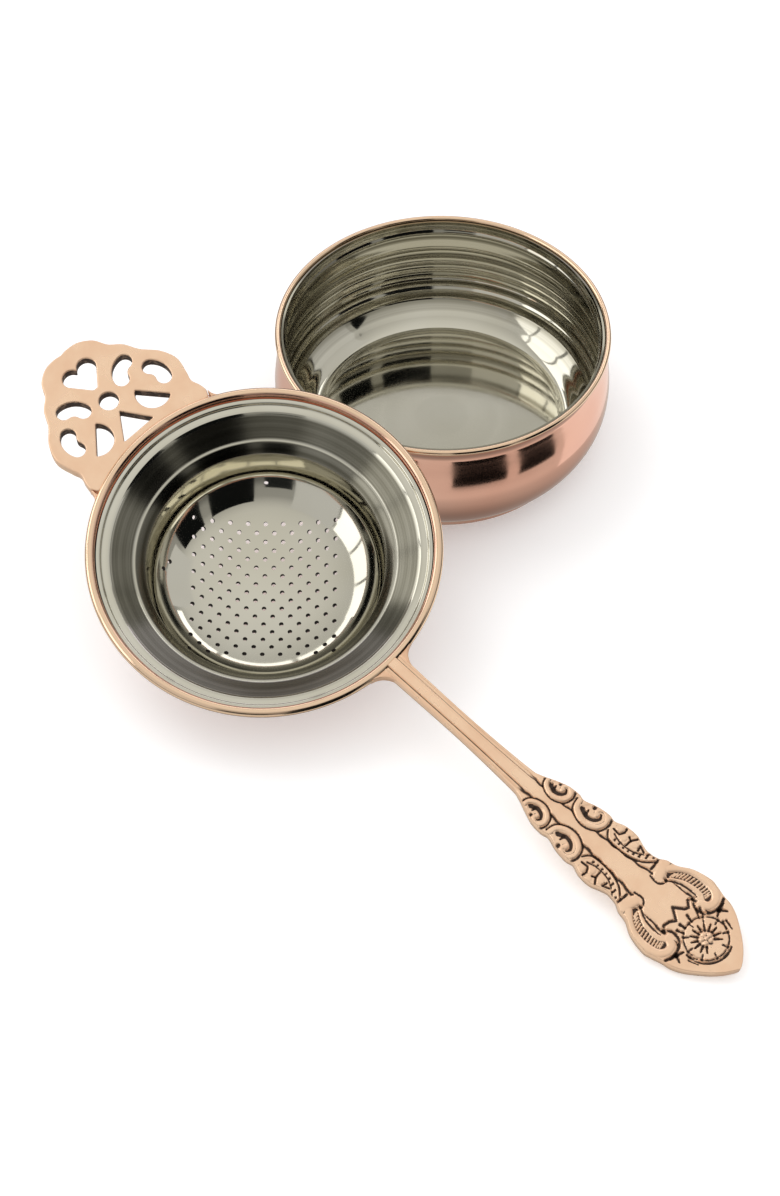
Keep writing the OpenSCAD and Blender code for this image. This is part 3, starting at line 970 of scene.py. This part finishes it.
def flat_piece(name, outlines, low, high, round_r, material):
    """A flat piece between two heights with rounded edges. Outlines inside others are windows."""
    curve = bpy.data.curves.new(name, "CURVE")
    curve.dimensions = "2D"
    curve.fill_mode = "BOTH"
    curve.extrude = ((high - low) / 2 - round_r) * MM
    curve.bevel_depth = round_r * MM
    curve.bevel_resolution = 3
    curve.offset = -round_r * MM
    for outline in outlines:
        spline = curve.splines.new("POLY")
        spline.points.add(len(outline) - 1)
        for point, (x, y) in zip(spline.points, outline):
            point.co = (x * MM, y * MM, 0, 1)
        spline.use_cyclic_u = True
    draft = put_in_scene(name + "_draft", curve)
    mesh = bpy.data.meshes.new_from_object(draft.evaluated_get(bpy.context.evaluated_depsgraph_get()))
    bpy.data.objects.remove(draft)
    bpy.data.curves.remove(curve)
    mesh.name = name
    mesh.transform(Matrix.Translation((0, 0, (low + high) / 2 * MM)))
    mesh.materials.clear()
    mesh.materials.append(material)
    mesh.shade_smooth()
    mesh.set_sharp_from_angle(angle=math.radians(50))
    piece = put_in_scene(name, mesh)
    even_light = piece.modifiers.new("even_light", "WEIGHTED_NORMAL")
    even_light.keep_sharp = True
    return piece


def mirrored(half):
    """A closed outline from its half on the +y side."""
    half = np.asarray(half)
    return np.vstack([half, (half * (1, -1))[::-1][1:]])


LUG_EDGE = smooth([
    (29.4, 13.6), (31.2, 14.7), (33, 14.6), (34.8, 14.1), (36.8, 14.7), (40.2, 15.4), (43.6, 14.2),
    (46.6, 11.7), (49.6, 10.1), (51.6, 8.0), (54.2, 6.6), (55.9, 4.2), (56.3, 1.8), (56.1, 0)], 8)


def turned_about(path, angle, place):
    """A 2D path turned about its own origin, then moved."""
    return np.asarray(path) @ turn_2d(math.radians(angle)).T + place


def bean(radius, half_width, angle):
    """A crescent with round ends: part of a ring."""
    end = radius * np.array([math.cos(math.radians(angle)), math.sin(math.radians(angle))])
    outside = arc((0, 0), radius + half_width, -angle, angle)
    inside = arc((0, 0), radius - half_width, angle, -angle, 12)[1:]
    upper_end = arc(end, half_width, angle, angle + 180, 12)[1:]
    lower_end = arc(end * (1, -1), half_width, 180 - angle, 360 - angle, 12)[1:-1]
    return chain(outside, upper_end, inside, lower_end)


def softened(path):
    """A closed outline with its corners rounded off."""
    radius, spacing = 0.35, 0.12
    path = even(np.vstack([path, path[:1]]), spacing)[:-1]
    near = round(radius / spacing)
    kernel = np.hanning(2 * near + 3)[1:-1]
    kernel /= kernel.sum()
    padded = np.vstack([path[-near:], path, path[:near]])
    return np.stack([np.convolve(padded[:, i], kernel, "valid") for i in (0, 1)], 1)


def lug_windows():
    """The lug's nine windows: a heart, a ring, a triangle, and two beans and a half moon a side."""
    heart = chain([(46.2, -0.5)], arc((50.8, -1.8), 1.9, -115, 60), [(51.5, 0)],
                  arc((50.8, 1.8), 1.9, -60, 115), [(46.2, 0.5)])
    triangle = [(39.5, 0), (34.1, 3.7), (34.1, -3.7)]
    ring = arc((42.5, 0), 1.9, 0, 360, 40)[:-1]
    far_bean = turned_about(bean(3.0, 1.5, 38), -40, (43.6, 7.8))
    near_bean = turned_about(bean(2.9, 1.5, 36), 80, (40.3, 8.4))
    half_moon = softened(turned_about(arc((0, 0), 3.4, 0, 180), 140, (38.1, 7.2)))
    side = [far_bean, near_bean, half_moon]
    other_side = [window[::-1] * (1, -1) for window in side]
    return [softened(heart), softened(triangle), ring, *side, *other_side]


def make_lug():
    edge = LUG_EDGE[np.linalg.norm(LUG_EDGE, axis=1) > RIM_R - 0.3]
    half_angle = math.degrees(math.atan2(edge[0][1], edge[0][0]))
    outline = chain(mirrored(edge), arc((0, 0), RIM_R - 0.35, -half_angle, half_angle, 40)[1:-1])
    low, high = PLATE_TOP - LUG_T, PLATE_TOP
    lug = flat_piece("cast_lug", [outline, *lug_windows()], low, high, LUG_ROUND, cast_copper)
    points = np.array([v.co for v in lug.data.vertices]) / MM
    walls = step(0.9 - np.abs(points[:, 2] - (low + high) / 2), -0.15, 0.05)
    inner = step(reach(points[:, 0], points[:, 1], np.vstack([outline, outline[:1]]))[0], 0.5, 0.9)
    under = points[:, 2] < low + 0.1
    set_patina(lug, np.where(under, 0.15, walls * (0.15 + 0.85 * inner)))
    turn = Matrix.Rotation(LUG_TURN, 4, "Z")
    return stand_for(lug, "lug", "strainer", pose() @ turn)


def fillet(corner, along_a, along_b, size):
    """A corner filled with a hollow curve between two directions."""
    a, b = corner + size * along_a, corner + size * along_b
    pull = corner + 0.12 * size * (along_a + along_b)
    t = np.linspace(0, 1, 13)[:, None]
    curve = (1 - t) ** 2 * a + 2 * t * (1 - t) * pull + t**2 * b
    return chain([corner - 0.3 * (along_a + along_b)], curve)


def make_braze(name, node, shape, low, high, angle):
    """Solder in the two corners where a cast piece meets the rim."""
    braze = flat_piece(name, [shape, shape[::-1] * (1, -1)], low, high, 0.28, braze_copper)
    set_patina(braze, np.full(len(braze.data.vertices), 0.18))
    turn = Matrix.Rotation(angle, 4, "Z")
    return stand_for(braze, node, "strainer", pose() @ turn)


def make_handle_braze():
    corner = np.array([RIM_R - 0.15, 2.15])
    shape = fillet(corner, np.array([0.999, -0.03]), np.array([-0.12, 0.99]), 3.2)
    low, high = PLATE_TOP - HANDLE_T + 0.12, PLATE_TOP + 0.1
    return make_braze("handle_braze_fillets", "handle_braze", shape, low, high, 0)


def make_lug_braze():
    angle = math.radians(26.3)
    out = np.array([math.cos(angle), math.sin(angle)])
    side = np.array([-out[1], out[0]])
    corner = (RIM_R - 0.1) * out
    shape = fillet(corner, np.array([0.97, 0.22]), side, 1.7)
    low, high = PLATE_TOP - LUG_T + 0.3, PLATE_TOP - 0.15
    return make_braze("lug_braze_fillets", "lug_braze", shape, low, high, LUG_TURN)


# ---- studio ------------------------------------------------------------------

# Metres.
FLOOR_HALF = 1.3
ROOM_R = 1.5
PANE_R = 1.2

PANE_CUTS = 12

# Heights from the room's foot at 0 to its top at 1, each with the light that it gives.
ROOM_LIGHT = ((0.0, 0.26), (0.07, 0.40), (0.18, 0.70), (0.31, 0.70), (0.46, 0.30), (0.52, 0.12),
              (0.58, 0.20), (0.66, 0.34), (0.78, 0.36), (0.86, 0.56), (0.94, 0.74), (1.0, 0.80))


def make_floor():
    """A white sheet of paper."""
    n = Nodes("white_paper", Roughness=0.9)
    fibres = n.noise(n.add("ShaderNodeTexCoord").outputs["Object"], 4, 2)
    n.link(n.ramp(fibres, (0.90, 0.90, 0.90), (0.93, 0.93, 0.93)), n.shader.inputs["Base Color"])
    n.shader.inputs["Emission Color"].default_value = (1, 1, 1, 1)
    n.shader.inputs["Emission Strength"].default_value = 0.22
    corners = [(x * FLOOR_HALF, y * FLOOR_HALF, 0) for x, y in ((-1, -1), (1, -1), (1, 1), (-1, 1))]
    floor = make_object("paper_floor", np.array(corners) / MM, [(0, 1, 2, 3)], n.material)
    floor.visible_glossy = False


def glow(name, colour, strength):
    """A material that only gives light."""
    n = Nodes(name)
    light = n.add("ShaderNodeEmission")
    n.link(light.outputs[0], n.tree.nodes["Material Output"].inputs["Surface"])
    light.inputs["Strength"].default_value = strength
    light.inputs["Color"].default_value = (*colour, 1)
    n.material.cycles.emission_sampling = "NONE"
    return n, light


def only_in_reflections(piece):
    """A stage piece that polished metal mirrors and nothing else sees."""
    piece.visible_camera = False
    piece.visible_diffuse = False
    piece.visible_shadow = False
    return piece


def direction(azimuth, elevation):
    """A unit vector. Azimuth 0 is to the front and turns to the right, in degrees."""
    a, e = math.radians(azimuth), math.radians(elevation)
    return np.array([math.sin(a) * math.cos(e), -math.cos(a) * math.cos(e), math.sin(e)])


def make_room():
    """The room that the metal mirrors: the pale table, a dim horizon, walls and a pale ceiling."""
    n, light = glow("room", (1, 1, 1), 1.0)
    split = n.add("ShaderNodeSeparateXYZ")
    n.link(n.add("ShaderNodeTexCoord").outputs["Object"], split.inputs[0])
    ramp = n.add("ShaderNodeValToRGB")
    for at, _ in ROOM_LIGHT[2:]:
        ramp.color_ramp.elements.new(at)
    for stop, (at, value) in zip(ramp.color_ramp.elements, ROOM_LIGHT):
        stop.position = at
        stop.color = (value, value * 0.985, value * 0.93, 1)
    n.link(n.math("ADD", n.math("MULTIPLY", split.outputs["Z"], 0.5 / ROOM_R), 0.5), ramp.inputs[0])
    n.link(ramp.outputs["Color"], light.inputs["Color"])
    polar = np.radians(np.linspace(-90, 90, 73))
    path = np.stack([np.cos(polar), np.sin(polar)], 1) * ROOM_R / MM
    return only_in_reflections(turned("room_sphere", path, n.material))


def make_pane(name, azimuths, elevations, colour, strength):
    """A patch of the room's wall that spans a range of azimuths and elevations."""
    n, _ = glow(name, colour, strength)
    row = PANE_CUTS + 1
    points = [direction(a, e) * PANE_R / MM
              for e in np.linspace(*elevations, row) for a in np.linspace(*azimuths, row)]
    faces = [(i * row + j, i * row + j + 1, (i + 1) * row + j + 1, (i + 1) * row + j)
             for i in range(PANE_CUTS) for j in range(PANE_CUTS)]
    return only_in_reflections(make_object(name, points, faces, n.material))


def make_panes():
    """Dark windows to the front, bright ones to the left and back, and pale walls between them."""
    dark, pale, lilac = (0.5, 0.55, 0.55), (1.0, 0.99, 0.96), (0.95, 0.92, 1.0)
    make_pane("dark_pane_right", (48, 74), (-31, 45), dark, 0.012)
    make_pane("dark_pane_middle", (6, 40), (-31, 42), dark, 0.012)
    make_pane("dark_pane_left", (-20, -1), (2, 20), dark, 0.03)
    make_pane("pale_front_wall", (-56, -22), (4, 50), pale, 0.62)
    for i, azimuth in enumerate((-125, -102, -79)):
        make_pane(f"bright_pane_left_{i}", (azimuth, azimuth + 21), (8, 46), pale, 1.7)
    for i, azimuth in enumerate((125, 163, 201)):
        make_pane(f"bright_pane_back_{i}", (azimuth, azimuth + 35), (36, 44.5), pale, 1.7)
    make_pane("lilac_back_wall", (140, 222), (14, 36), lilac, 0.85)
    make_pane("pale_right_wall", (78, 122), (26, 60), pale, 0.66)
    make_pane("bright_table_right", (82, 170), (-42, -14), pale, 1.0)


def make_world():
    world = bpy.data.worlds.new("soft_studio")
    world.use_nodes = True
    sky = world.node_tree.nodes["Background"]
    sky.inputs["Color"].default_value = (1, 1, 1, 1)
    sky.inputs["Strength"].default_value = 1.0
    bpy.context.scene.world = world
    bpy.context.scene.view_settings.view_transform = "Standard"


def make_lamp():
    """A soft lamp to the back left, aimed at the object."""
    data = bpy.data.lights.new("key_lamp", "AREA")
    data.shape = "DISK"
    data.size = 0.7
    data.energy = 2.0
    lamp = put_in_scene("key_lamp", data)
    lamp.location = (-0.5, 0.3, 0.9)
    lamp.rotation_euler = (lamp.location - Vector((0, -0.03, 0))).to_track_quat("Z", "Y").to_euler()
    lamp.visible_glossy = False


def make_camera():
    data = bpy.data.cameras.new("camera")
    data.sensor_width = 36
    data.lens = 78.26
    data.clip_start = 0.01
    camera = put_in_scene("camera", data)
    camera.location = Vector((-10.4, -364.0, 387.6)) * MM
    target = Vector((-10.4, -46.5, 0)) * MM
    camera.rotation_euler = (target - camera.location).to_track_quat("-Z", "Y").to_euler()
    bpy.context.scene.camera = camera


make_bowl_shell()
make_bowl_liner()
make_strainer_shell()
make_strainer_liner()
make_handle()
make_handle_braze()
make_lug()
make_lug_braze()
make_floor()
make_room()
make_panes()
make_world()
make_lamp()
make_camera()
